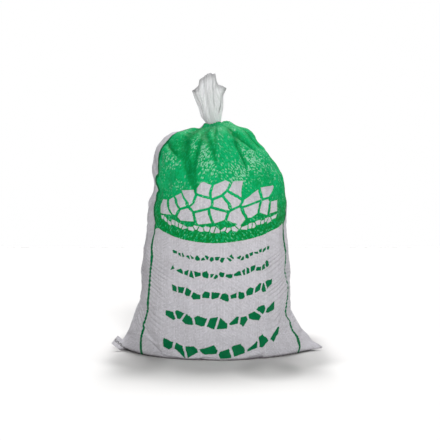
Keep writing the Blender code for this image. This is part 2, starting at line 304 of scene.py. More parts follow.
def rowsAt(path, shares):
    # Points at the same shares of every column's length
    length = lengthsAlong(path, 0)
    length = length / length[-1]
    rows = np.empty((len(shares), path.shape[1], 3))
    for column in range(path.shape[1]):
        for axis in range(3):
            rows[:, column, axis] = np.interp(shares, length[:, column], path[:, column, axis])
    return rows


def smoothCloth():
    # Points of the sack without folds, row by row, and the cloth's v at each row
    rings = ringPoints(bodySections)
    path = np.concatenate([floorRings(rings[0]), rings])
    turn = sack["floorLength"] / sack["seamToTie"]
    shares = np.concatenate([
        np.linspace(0, turn, sack["floorRows"] + 1)[:-1],
        np.linspace(turn, 1, sack["bodyRows"] + 1),
    ])
    tuftShares = np.linspace(0, 1, sack["tuftRows"] + 1)
    tuft = rowsAt(ringPoints(tuftSections), tuftShares)
    points = np.concatenate([rowsAt(path, shares), tuft[1:]])
    v = np.concatenate([shares * sack["seamToTie"],
                        sack["seamToTie"] + tuftShares[1:] * sack["tuftLength"]])
    return points, v


def outward(points):
    # Unit normals of the rows, which close on themselves from column to column
    ring = points[:, :-1]
    around = np.roll(ring, -1, axis=1) - np.roll(ring, 1, axis=1)
    normals = np.cross(around, np.gradient(ring, axis=0))
    normals /= np.maximum(np.linalg.norm(normals, axis=2, keepdims=True), 1e-12)
    return np.concatenate([normals, normals[:, :1]], axis=1)


def ramp(values, low, high):
    # 0 below low and 1 above high, with a smooth rise between
    share = np.clip((values - low) / (high - low), 0, 1)
    return share * share * (3 - 2 * share)


def band(values, start, full, fade, end):
    # 0 before start and after end, and 1 from full to fade
    return ramp(values, start, full) * (1 - ramp(values, fade, end))


def waves(coords, lengths, seed, count=28):
    # A random field of waves in the given range of lengths, with a spread of about 1
    random = np.random.default_rng(seed)
    total = 0
    for _ in range(count):
        direction = random.normal(size=coords.shape[-1])
        direction *= math.tau / random.uniform(*lengths) / np.linalg.norm(direction)
        total = total + np.cos(coords @ direction + random.uniform(0, math.tau))
    return total * math.sqrt(2 / count)


def creaseField(u, v, points, creases):
    # Sharp valleys with round lobes between them, worked out on the gathered cloth's own plane
    field = np.zeros(points.shape[:2])
    girth = np.linalg.norm(np.diff(points, axis=1), axis=2).sum(axis=1)
    gather = girth / (2 * sack["flatWidth"])
    x = u[None] * gather[:, None]
    y = np.broadcast_to(v[:, None], x.shape)
    for corners, halfWidth, depth, lean in creases:
        line = np.array(corners)
        line[:, 0] *= np.interp(line[:, 1], v, gather)
        steps = np.hypot(*np.diff(line, axis=0).T)
        total = steps.sum()
        nearest = np.full(x.shape, 9.0)
        side = np.zeros(x.shape)
        place = np.zeros(x.shape)
        done = 0.0
        lap = 2 * sack["flatWidth"] * gather[:, None]
        for (x0, y0), (x1, y1), step in zip(line, line[1:], steps):
            dx, dy = (x1 - x0) / step, (y1 - y0) / step
            fromX = (x - x0 + lap / 2) % lap - lap / 2
            fromY = y - y0
            share = np.clip(fromX * dx + fromY * dy, 0, step)
            apart = np.hypot(fromX - share * dx, fromY - share * dy)
            closer = apart < nearest
            nearest = np.where(closer, apart, nearest)
            side = np.where(closer, np.sign(fromX * dy - fromY * dx), side)
            place = np.where(closer, done + share, place)
            done += step
        fade = band(place, *folds["creaseStart"], *(total + np.array(folds["creaseEnd"])))
        width = halfWidth * (1 - side * lean)
        soft = folds["valley"]
        field -= depth * fade * np.exp(soft - np.sqrt((nearest / width) ** 2 + soft**2))
    return field


def creasesBehind(random):
    creases = []
    for top, low, reach, width, depth in backCreases:
        start = folds["backTop"]
        line = [(top, start)]
        for share in (0.35, 0.7):
            aside = random.uniform(-0.005, 0.005)
            line.append((top + (low - top) * share + aside, start + (reach - start) * share))
        line.append((low, reach - 0.012))
        creases.append((line, width, depth, random.uniform(-0.6, 0.6)))
    return creases


def neckCreases(random):
    creases = []
    for middle in np.linspace(-0.4, 0.4, folds["neckCreases"], endpoint=False):
        top = middle + random.uniform(-0.008, 0.008)
        line = [(top, 0.632), (top + random.uniform(-0.006, 0.006), 0.595),
                (top + random.uniform(-0.012, 0.012), random.uniform(*folds["neckReach"]))]
        width = random.uniform(*folds["neckWidth"])
        depth = random.uniform(0.5, 1) * folds["neckDepth"]
        creases.append((line, width, depth, random.uniform(-0.5, 0.5)))
    return creases


def deepestAt(points):
    return np.interp(points[..., 2], folds["deepestHeights"], folds["deepest"])


def deepCreases(points, v):
    # How far the creases lie below the smooth cloth, as heights that are zero or less
    random = np.random.default_rng(folds["seed"])
    creases = frontCreases + tuftCreases + creasesBehind(random) + neckCreases(random)
    depth = -creaseField(columnU(), v, points, creases)
    deepest = deepestAt(points)
    return -deepest * np.tanh(depth / deepest)


def crimps(u, v, z):
    # Short creases lie across the two sides, along the weft, where the sack's width is pressed in
    plane = np.stack([u, v], axis=-1)
    side = np.maximum(band(u, *folds["crimpRight"]), band(-u, *folds["crimpLeft"]))
    level = band(z, *folds["crimpLevel"])
    wander = waves(plane, (0.05, 0.13), folds["seed"] + 1)
    arch = np.abs(np.sin(math.pi * (v / folds["crimpStep"] + 0.22 * wander))) ** 0.8
    strength = np.clip(0.80 + 0.45 * waves(plane * (1, 2), (0.06, 0.14), 5), 0.50, 1.3)
    return folds["crimpHeight"] * (arch - 0.66) * side * level * strength


def fineRelief(points, v):
    # Crimps, the stones' lumps, and the loose ripple of the cloth and its tuft
    u, v = np.broadcast_arrays(columnU()[None], v[:, None])
    z = points[..., 2]
    seed = folds["seed"]
    body = band(v, 0.105, 0.150, 0.612, 0.632)
    offset = crimps(u, v, z)
    height, lengths = folds["lumps"]
    offset = offset + height * waves(points, lengths, seed + 2) * body * ramp(z, 0.01, 0.05)
    height, lengths = folds["ripple"]
    ripple = waves(np.stack([u * 0.5, v], axis=-1), lengths, seed + 3)
    offset = offset + height * ripple * body * ramp(z, 0.02, 0.06)
    inTuft = ramp(v, sack["seamToTie"] + 0.002, sack["seamToTie"] + 0.030)
    ridgeHeight, lengths = folds["tuftRidges"]
    ridges = waves(np.stack([u, v * 0.35], axis=-1), lengths, seed + 4)
    height, lengths = folds["tuftRipple"]
    fine = waves(np.stack([u, v * 0.25], axis=-1), lengths, seed + 5)
    offset = offset + inTuft * (ridgeHeight * ridges + height * fine)
    offset = offset + folds["neckRipple"] * fine * ramp(v, 0.600, 0.625)
    return offset * ramp(z, 0.0, 0.012)


def patches(u, v, places):
    # Soft round places on the cloth, added up
    total = 0
    for (midU, midV), (sizeU, sizeV), share in places:
        total = total + share * np.exp(-(((u - midU) / sizeU) ** 2) - ((v - midV) / sizeV) ** 2)
    return np.clip(total, 0, 1)


def paintedShadeAndHighlight(points, v):
    # How much painted shade a place gets in a crease or a shaded place, and how much painted
    # highlight it gets on a lobe, both from 0 to 1
    u, rows = np.broadcast_arrays(columnU()[None], v[:, None])
    paintedShade = ramp(-creaseField(columnU(), v, points, frontCreases), *folds["domeShade"])
    paintedShade = paintedShade * (1 - ramp(rows, 0.560, 0.600))
    paintedShade = np.maximum(paintedShade, patches(u, rows, paintedShadePatches))
    tuftField = -creaseField(columnU(), v, points, tuftCreases) * ramp(rows, 0.635, 0.655)
    paintedShade = np.maximum(paintedShade, ramp(tuftField, *folds["tuftShade"]))
    paintedShade = np.maximum(paintedShade, ramp(-crimps(u, rows, points[..., 2]), *folds["crimpShade"]))
    return np.stack([paintedShade, patches(u, rows, paintedHighlights) * (1 - paintedShade)], axis=-1)


def raiseMouth(points, v):
    # The tuft's rows stretch up to a ragged mouth
    random = np.random.default_rng(folds["seed"] + 6)
    places = np.array(mouthRise)
    share = ramp(v, sack["seamToTie"] + 0.35 * sack["tuftLength"], v[-1])[:, None]
    share = 0.5 * share + 0.5 * share**2
    rise = np.interp(points[-1, :, 0], places[:, 0], places[:, 1])
    ragged = random.uniform(-0.0005, 0.0005, len(rise))
    ragged[-1] = ragged[0]
    points = points.copy()
    points[..., 2] += share * rise + share**8 * ragged
    return points


def raiseFront(points):
    x, y, z = np.moveaxis(points, -1, 0)
    for place, height, half in humps["each"]:
        near = np.exp(-(((x - place) / half) ** 2) - ((y - humps["y"]) / humps["depth"]) ** 2)
        z = z + height * near * ramp(z, *humps["rise"]) * (z < humps["below"])
    return np.stack([x, y, z], axis=-1)


def insideRows(points):
    # The inner face of the open tuft goes down to a slit above the tie
    top = points.shape[0] - 1
    normals = outward(points)
    rows = []
    depth = sack["tuftRows"] - 8
    for step in range(1, sack["insideRows"] + 1):
        row = top - round(depth * step / sack["insideRows"])
        ring = points[row] - normals[row] * sack["mouthWall"]
        slit = (ring + ring[::-1]) / 2
        close = (step / sack["insideRows"]) ** 2
        rows.append(ring + (slit - ring) * close)
    return np.array(rows)


def placed(name, data):
    thing = bpy.data.objects.new(name, data)
    bpy.context.scene.collection.objects.link(thing)
    return thing


def mergeDoubles(mesh, apart):
    bm = bmesh.new()
    bm.from_mesh(mesh)
    bmesh.ops.remove_doubles(bm, verts=bm.verts, dist=apart)
    bm.to_mesh(mesh)
    bm.free()
    mesh.shade_smooth()


def valuesOf(items, key, kind=float, each=1):
    values = np.empty(len(items) * each, kind)
    items.foreach_get(key, values)
    return values


def clothMesh(name, points, uvs):
    # A flat grid is wrapped round the rows, and its meeting edges are merged
    rows, columns = points.shape[:2]
    bm = bmesh.new()
    bm.loops.layers.uv.new("print")
    bmesh.ops.create_grid(bm, x_segments=columns - 1, y_segments=rows - 1, size=1, calc_uvs=True)
    mesh = bpy.data.meshes.new(name)
    bm.to_mesh(mesh)
    bm.free()
    flat = valuesOf(mesh.vertices, "co", each=3).reshape(-1, 3)
    column = np.rint((flat[:, 0] + 1) / 2 * (columns - 1)).astype(int)
    row = np.rint((flat[:, 1] + 1) / 2 * (rows - 1)).astype(int)
    mesh.vertices.foreach_set("co", points[row, column].ravel())
    if not uvs:
        place = mesh.attributes.new("place", "INT", "POINT")
        place.data.foreach_set("value", row * columns + column)
    corner = valuesOf(mesh.loops, "vertex_index", int)
    for layerName, uv in uvs.items():
        layer = mesh.uv_layers.get(layerName) or mesh.uv_layers.new(name=layerName)
        layer.data.foreach_set("uv", uv[row[corner], column[corner]].ravel())
    mergeDoubles(mesh, 0.00001)
    return placed(name, mesh)


def placesOf(piece, columns):
    # The row and the column that each of a mesh's points came from
    place = valuesOf(piece.data.attributes["place"].data, "value", int)
    return place // columns, place % columns


settle = {
    "span": (0.095, 0.632),
    "held": ((0.100, 0.125), (0.600, 0.622)),
    "frames": 12,
    # the cloth is a little larger than the room that the stones give it, so that it buckles
    "growth": 0.020,
    "startShare": 0.9,
    "restShare": 1.3,
    "stretch": 30,
    "shear": 8,
    "bending": 2.0,
    "gravity": 0.03,
    "coreBelow": 0.003,
    "gap": 0.001,
    "mostMove": 0.007,
}


def settledCloth(smooth, heights, v):
    # The cloth is simulated over a hard core, and what its points have moved is capped
    normals = outward(smooth)
    result = smooth + normals * heights
    low, high = np.searchsorted(v, settle["span"])
    columns = smooth.shape[1]
    start = (smooth + normals * heights * settle["startShare"])[low:high + 1]
    rest = (smooth + normals * heights * settle["restShare"])[low:high + 1]
    piece = clothMesh("cloth_trial", start, {})
    row, column = placesOf(piece, columns)
    column = column % (columns - 1)
    piece.shape_key_add(name="Basis")
    key = piece.shape_key_add(name="rest")
    key.data.foreach_set("co", rest[row, column].ravel())
    at = v[low + row]
    below, above = settle["held"]
    hold = np.round(np.maximum(1 - ramp(at, *below), ramp(at, *above)), 2)
    held = piece.vertex_groups.new(name="held")
    for share in np.unique(hold[hold > 0]):
        held.add(np.flatnonzero(hold == share).tolist(), float(share), "REPLACE")
    core = smooth - normals * (settle["coreBelow"] + deepestAt(smooth))[..., None]
    coreCloth = clothMesh("core_trial", core[low:high + 1:2, ::2], {})
    coreCloth.modifiers.new("hard", "COLLISION")
    coreCloth.collision.thickness_outer = settle["gap"]
    coreCloth.collision.cloth_friction = 8

    modifier = piece.modifiers.new("cloth", "CLOTH")
    for name, value in {
        "quality": 6, "mass": 0.05, "tension_stiffness": settle["stretch"],
        "compression_stiffness": settle["stretch"], "shear_stiffness": settle["shear"],
        "bending_model": "ANGULAR", "bending_stiffness": settle["bending"],
        "tension_damping": 10, "compression_damping": 10, "vertex_group_mass": "held",
        "pin_stiffness": 1, "rest_shape_key": key, "shrink_min": -settle["growth"],
        "shrink_max": -settle["growth"],
    }.items():
        setattr(modifier.settings, name, value)
    modifier.settings.effector_weights.gravity = settle["gravity"]
    modifier.collision_settings.distance_min = settle["gap"]
    modifier.collision_settings.collision_quality = 2
    modifier.point_cache.frame_start = 1
    modifier.point_cache.frame_end = settle["frames"] + 1
    scene = bpy.context.scene
    for number in range(1, settle["frames"] + 1):
        scene.frame_set(number)
        bpy.context.view_layer.update()
    settled = piece.evaluated_get(bpy.context.evaluated_depsgraph_get())
    moved = valuesOf(settled.data.vertices, "co", each=3).reshape(-1, 3)
    scene.frame_set(1)
    change = moved - result[low + row, column]
    size = np.maximum(np.linalg.norm(change, axis=1, keepdims=True), 1e-9)
    most = settle["mostMove"]
    result[low + row, column] += change * np.minimum(1, most * np.tanh(size / most) / size)
    result[:, -1] = result[:, 0]
    print("cloth settled: moved", round(float(size.mean()) * 1000, 2), "mm on average")
    for trial in (piece, coreCloth):
        bpy.data.objects.remove(trial)
    return result


def makeSack(smooth, v):
    points = settledCloth(smooth, deepCreases(smooth, v)[..., None], v)
    points = points + outward(points) * fineRelief(smooth, v)[..., None]
    points = raiseMouth(raiseFront(points), v)
    points[..., 2] = np.maximum(points[..., 2], sack["floorGap"])
    points[0] = (points[0] + points[0][::-1]) / 2
    inner = insideRows(points)
    inner[-1] = (inner[-1] + inner[-1][::-1]) / 2

    u = columnU()
    left, right = (np.interp(v, *np.array(printEdges).T[[0, side]])[:, None] for side in (1, 2))
    across = (2 * u[None] - left - right) / (right - left) * sack["printHalf"]
    printUv = np.stack(np.broadcast_arrays(across, v[:, None]), axis=-1)
    along = lengthsAlong(points, 1)
    along = along - along[:, sack["columns"] // 2][:, None]
    weaveUv = np.stack([along, lengthsAlong(points, 0)], axis=-1)
    uvs = {"print": printUv, "weave": weaveUv, "paintedShadeAndHighlight": paintedShadeAndHighlight(smooth, v)}
    below = np.arange(1, sack["insideRows"] + 1) * 3
    uvs = {key: np.concatenate([uv, uv[-1 - below]]) for key, uv in uvs.items()}
    return clothMesh("sack_cloth", np.concatenate([points, inner]), uvs)


smoothPoints, clothV = smoothCloth()
cloth = makeSack(smoothPoints, clothV)
print("sack cloth:", len(cloth.data.polygons), "faces")

stones = {
    "size": 0.024,
    "relief": 0.0045,
    "groove": 0.12,
    "floor": 0.0030,
    "crown": 0.006,
    "below": 0.0032,
    "belowCreases": 1.15,
    "top": 0.560,
    "reach": 0.150,
    "columnStep": 2,
    "rowStep": 3,
    "seed": 21,
}


def makeStones(points, v):
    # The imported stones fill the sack: their mass is one body with a face for each outer stone
    rows = np.flatnonzero((v < stones["top"]) & (v > 0.004))[::stones["rowStep"]]
    core = points[rows][:, ::stones["columnStep"]]
    depth = deepestAt(core)
    random = np.random.default_rng(stones["seed"])
    low, high = core.reshape(-1, 3).min(axis=0), core.reshape(-1, 3).max(axis=0)
    count = int(np.prod(high - low) / stones["size"] ** 3)
    seeds = random.uniform(low, high, (count, 3))
    first = np.full(core.shape[:2], 9.0)
    second = first.copy()
    for seed in seeds:
        far = np.linalg.norm(core - seed, axis=-1)
        second = np.minimum(second, np.maximum(far, first))
        first = np.minimum(first, far)
    groove = np.exp(-(second - first) / (stones["groove"] * stones["size"]))
    facets = stones["relief"] * (0.55 * groove + 0.45 * np.clip(first / stones["size"], 0, 1))
    inwards = stones["below"] + stones["belowCreases"] * depth + facets
    core = core - outward(core) * inwards[..., None]
    core[..., 2] += np.maximum(0, stones["floor"] - core[..., 2])
    # they don't reach into the two flat ears
    core[..., 0] = np.clip(core[..., 0], -stones["reach"], stones["reach"])
    lid = core[-1].mean(axis=0) + (0, 0, stones["crown"])
    closing = [core[-1] + (lid - core[-1]) * share for share in (0.3, 0.6, 0.85, 1.0)]
    bottom = core[0].mean(axis=0) * (1, 1, 0) + (0, 0, stones["floor"])
    opening = [core[0] + (bottom - core[0]) * share for share in (1.0, 0.6)]
    core = np.concatenate([opening, core, closing])
    uv = np.zeros(core.shape[:2] + (2,))
    return clothMesh("stone_fill", core, {"print": uv})


fill = makeStones(smoothPoints, clothV)
print("stone fill:", len(fill.data.polygons), "faces")

# The sewn bottom edge is folded to a strip that lies under the sack from ear to ear, and its
# left end turns up and shows its stitches
hem = {
    "width": 0.0190,
    "thickness": 0.0014,
    "around": 20,
    "lengthStep": 0.0035,
    # x, y, z of the middle line and how far it has turned up, from the right end to the left
    "line": [
        (0.1740, 0.0, 0.0021, 0.0), (0.1500, 0.0, 0.0019, 0.0), (0.0, 0.0, 0.0019, 0.0),
        (-0.1400, 0.0, 0.0019, 0.0), (-0.1545, 0.0, 0.0024, 0.10),
        (-0.1650, -0.0015, 0.0050, 0.50), (-0.1740, -0.0030, 0.0098, 0.95),
        (-0.1885, -0.0040, 0.0212, 1.0),
    ],
    # the strip's direction across where it has turned up
    "turnedAcross": (-0.72, 0, -0.69),
    "stitch": 0.0062,
    "pointsEach": 14,
    "threadRadius": 0.00055,
    "loop": 0.0016,
}


def hemFrames():
    # Points along the strip's middle, and at each one its directions along, across and out
    line = np.array(hem["line"])
    length = lengthsAlong(line[:, :3], 0)
    smooth = smoothTable(np.column_stack([line, length]), 12)
    at = np.arange(0, length[-1], hem["lengthStep"] / 4)
    line = np.stack([np.interp(at, smooth[:, 4], smooth[:, k]) for k in range(4)], axis=1)
    along = np.gradient(line[:, :3], axis=0)
    along /= np.linalg.norm(along, axis=1, keepdims=True)
    turned = line[:, 3:]
    across = (1 - turned) * np.array([0, 1.0, 0]) + turned * np.array(hem["turnedAcross"])
    across -= along * (along * across).sum(axis=1, keepdims=True)
    across /= np.linalg.norm(across, axis=1, keepdims=True)
    return at, line[:, :3], across, np.cross(along, across)


def makeHem():
    at, line, across, out = (values[::4] for values in hemFrames())
    turn = math.tau * np.arange(hem["around"] + 1) / hem["around"]
    wide = np.sign(np.cos(turn)) * np.abs(np.cos(turn)) ** 0.35 * hem["width"] / 2
    thick = np.sin(turn) * np.abs(np.sin(turn)) ** -0.3 * hem["thickness"] / 2
    thick[np.abs(np.sin(turn)) < 0.01] = 0
    rings = (line[:, None] + across[:, None] * wide[None, :, None]
             + out[:, None] * thick[None, :, None])
    ends = [(rings[k] + rings[k][::-1]) / 2 for k in (0, -1)]
    rings = np.concatenate([ends[:1], rings, ends[1:]])
    rings[..., 2] = np.maximum(rings[..., 2], sack["floorGap"])
    step = np.concatenate([at[:1], at, at[-1:]])
    weaveUv = np.stack(np.broadcast_arrays(wide[None] + 0.3, step[:, None]), axis=-1)
    printUv = np.stack(np.broadcast_arrays(wide[None] + 0.35, step[:, None] * 0 + 0.02), axis=-1)
    return clothMesh("hem_strip", rings, {"print": printUv, "weave": weaveUv, "paintedShadeAndHighlight": weaveUv * 0})


def makeStitches():
    # A chain stitch: each loop reaches through the one before it
    at, line, across, out = hemFrames()
    turns = at[-1] / hem["stitch"]
    t = np.arange(0, turns - 0.4, 1 / hem["pointsEach"])
    place = np.clip((t - 0.16 * np.sin(2 * math.tau * t)) * hem["stitch"] + 0.002, 0, at[-1])
    aside = hem["loop"] * np.sin(math.tau * t)
    proud = hem["thickness"] / 2 + hem["threadRadius"] * (0.55 + 0.35 * np.cos(2 * math.tau * t))
    points = np.zeros((len(t), 3))
    for axis in range(3):
        points[:, axis] = np.interp(place, at, line[:, axis])
        points[:, axis] += aside * np.interp(place, at, across[:, axis])
        points[:, axis] += proud * np.interp(place, at, out[:, axis])
    curve = bpy.data.curves.new("hem_stitches", "CURVE")
    curve.dimensions = "3D"
    curve.bevel_depth = hem["threadRadius"]
    curve.bevel_resolution = 1
    curve.use_fill_caps = True
    spline = curve.splines.new("POLY")
    spline.points.add(len(points) - 1)
    spline.points.foreach_set("co", np.column_stack([points, np.ones(len(points))]).ravel())
    holder = placed("hem_stitches_curve", curve)
    graph = bpy.context.evaluated_depsgraph_get()
    mesh = bpy.data.meshes.new_from_object(holder.evaluated_get(graph))
    bpy.data.objects.remove(holder)
    mergeDoubles(mesh, 0.000001)
    return placed("hem_stitches", mesh)


hemStrip = makeHem()
print("hem:", len(hemStrip.data.polygons), "faces")
stitches = makeStitches()
print("stitches:", len(stitches.data.polygons), "faces")


class Value:
    # A shader socket that takes arithmetic, one Math node for each operation
    def __init__(self, shader, socket):
        self.shader = shader
        self.socket = socket

    def math(self, operation, *values):
        return self.shader.node("Math", {"operation": operation}, values)

    def __add__(self, other):
        return self.math("ADD", self, other)

    def __sub__(self, other):
        return self.math("SUBTRACT", self, other)

    def __rsub__(self, other):
        return self.math("SUBTRACT", other, self)

    def __mul__(self, other):
        return self.math("MULTIPLY", self, other)

    def __truediv__(self, other):
        return self.math("DIVIDE", self, other)

    def __rtruediv__(self, other):
        return self.math("DIVIDE", other, self)

    def __pow__(self, other):
        return self.math("POWER", self, other)

    def __gt__(self, other):
        return self.math("GREATER_THAN", self, other)

    def __lt__(self, other):
        return self.math("LESS_THAN", self, other)

    def __abs__(self):
        return self.math("ABSOLUTE", self)

    __radd__ = __add__
    __rmul__ = __mul__

    def floor(self):
        return self.math("FLOOR", self)

    def fraction(self):
        return self.math("FRACT", self)

    def largest(self, other):
        return self.math("MAXIMUM", self, other)

    def between(self, low, high):
        # A soft step from 0 at low to 1 at high
        return self.shader.node("MapRange", {"interpolation_type": "SMOOTHSTEP"},
                                {"Value": self, "From Min": low, "From Max": high})


class Shader:
    # A material's nodes, each added by one call
    def __init__(self, name):
        self.material = bpy.data.materials.new(name)
        self.material.use_nodes = True
        self.tree = self.material.node_tree
        self.surface = self.tree.nodes["Principled BSDF"]

    def node(self, kind, settings=None, inputs=(), output=0):
        node = self.tree.nodes.new("ShaderNode" + kind)
        for key, setting in (settings or {}).items():
            setattr(node, key, setting)
        pairs = inputs.items() if isinstance(inputs, dict) else enumerate(inputs)
        for key, given in pairs:
            self.feed(node.inputs[key], given)
        return Value(self, node.outputs[output])

    def feed(self, socket, given):
        if isinstance(given, Value):
            self.tree.links.new(given.socket, socket)
        else:
            socket.default_value = given

    def uv(self, name):
        return self.node("UVMap", {"uv_map": name})

    def coords(self):
        return self.node("TexCoord", output="Object")

    def parts(self, vector):
        split = self.node("SeparateXYZ", {}, (vector,)).socket.node
        return [Value(self, socket) for socket in split.outputs]

    def joined(self, x, y):
        return self.node("CombineXYZ", {}, (x, y))

    def noise(self, vector, scale, detail):
        return self.node("TexNoise", {}, {"Vector": vector, "Scale": scale, "Detail": detail})

    def mix(self, share, first, second):
        # Colours are mixed as colours
        return self.node("Mix", {"data_type": "RGBA"}, {0: share, 6: first, 7: second}, 2)

    def set(self, **values):
        for key, given in values.items():
            self.feed(self.surface.inputs[key.replace("_", " ")], given)

    def bump(self, height, strength, distance, normal=None):
        inputs = {"Height": height, "Strength": strength, "Distance": distance}
        if normal:
            inputs["Normal"] = normal
        return self.node("Bump", {}, inputs)


weave = {
    "tape": 0.0025,
    "white": (0.560, 0.550, 0.585, 1),
    # the tuft's lighter white is a painted glow of light shining through its thin cloth
    "tuftGlowWhite": (0.790, 0.795, 0.805, 1),
    "tuftShadeGrey": (0.300, 0.300, 0.310, 1),
    "crimpShadeGrey": (0.300, 0.295, 0.315, 1),
    "paintedContactShadow": (0.090, 0.070, 0.072, 1),
    # how strong the two painted shades are, how strong the painted contact shadow is, and how
    # high that shadow reaches
    "tuftShadeShare": 0.7,
    "crimpShadeShare": 0.55,
    "contactShadowShare": 0.65,
    "contactShadowHeight": 0.0055,
    # where the frayed mouth is painted darker along v, as shade, and the place and half width of
    # the tuft's two painted fold shadows in the print's u
    "mouthEdge": (0.7120, 0.7300),
    "sideFoldShadows": ((0.140, 0.0075), (-0.253, 0.0045)),
    # the plain shade, and what a tape's tone, its arch and its own chance add to it; the arch is
    # painted shade of the weave's relief, darker where a tape dips under the next
    "shades": (0.750, 0.16, 0.12, 0.15),
    "relief": 0.00035,
}

ink = {
    "green": (0.004, 0.450, 0.155, 1),
    "paintedHighlightGreen": (0.280, 0.640, 0.430, 1),
    "deepGreen": (0.001, 0.270, 0.060, 1),
    "lowShadeGreen": (0.001, 0.200, 0.034, 1),
    "darkGreen": (0.001, 0.150, 0.050, 1),
    # how much painted highlight speckles the ink on plain cloth, and how much more on a lobe
    "paintedHighlightShares": (0.02, 0.54),
    "edgeBlur": 0.0004,
    "lineWidth": 0.0066,
    "frameLow": 0.034,
    "frameHigh": 0.632,
    "panelHigh": 0.3355,
    "pileLeft": 0.009,
    "cornerRadius": 0.015,
    # a row of chips: size, lowest v, half the gap between two, how many on each side of the
    # middle, and where in the pattern they start. The pile has 3 rows, with fewer chips each
    "pile": (0.0255, 0.374, 0.0024, 4.6, 3, 1.5, 3),
    "small": (0.0090, 0.3560, 0.0009, 12.6, 40),
    "rows": [
        (0.0085, 0.3030, 0.00111, 10.6, 7), (0.0110, 0.2730, 0.00126, 8.6, 18),
        (0.0140, 0.2340, 0.00144, 6.6, 29), (0.0175, 0.1870, 0.00165, 5.6, 40),
        (0.0210, 0.1310, 0.00186, 4.6, 51),
    ],
}


def inked(distance):
    # Ink where a distance is above 0, with a slightly soft edge
    return distance.between(-ink["edgeBlur"], ink["edgeBlur"])


def stoneChips(shader, u, v, size, low, gap, each, start, fewer=0, high=1):
    # Rows of angular chips, each in a cell of its own, counted from the middle and upwards
    spread = 0.78
    point = shader.joined(u / size + start + spread / 2, (v - low) / size + start)
    settings = {"voronoi_dimensions": "2D"}
    inputs = {"Vector": point, "Scale": 1.0, "Randomness": spread}
    edge = shader.node("TexVoronoi", {**settings, "feature": "DISTANCE_TO_EDGE"}, inputs)
    middle = shader.node("TexVoronoi", {**settings, "feature": "F1"}, inputs, "Position")
    column, row, _ = shader.parts(middle)
    row = (row - start).floor()
    inside = (abs(column.floor() - start) < each - fewer * row) * (row > -0.5) * (row < high - 0.5)
    return inked(edge * size - gap) * inside


def printMasks(shader, u, v):
    # Where the ink lies, and where it is the dark ink of the panel's rows
    half, radius = sack["printHalf"], ink["cornerRadius"]
    sheet = inked(half - abs(u)) * inked(v - ink["frameLow"]) * inked(ink["frameHigh"] - v)
    insideHalf = half - ink["lineWidth"]
    low, high = ink["frameLow"] + ink["lineWidth"], ink["panelHigh"]
    outX = (abs(u) - (insideHalf - radius)).largest(0.0)
    outY = (abs(v - (low + high) / 2) - ((high - low) / 2 - radius)).largest(0.0)
    corner = (outX**2.0 + outY**2.0) ** 0.5
    panel = inked(radius - corner)
    aside = u + ink["pileLeft"]
    chips = stoneChips(shader, aside, v, *ink["pile"])
    chips = chips.largest(stoneChips(shader, aside, v, *ink["small"]))
    green = sheet * (1 - panel) * (1 - chips)
    dark = sheet * inked(abs(u) - insideHalf)
    for row in ink["rows"]:
        dark = dark.largest(stoneChips(shader, u, v, *row) * panel)
    return green, dark


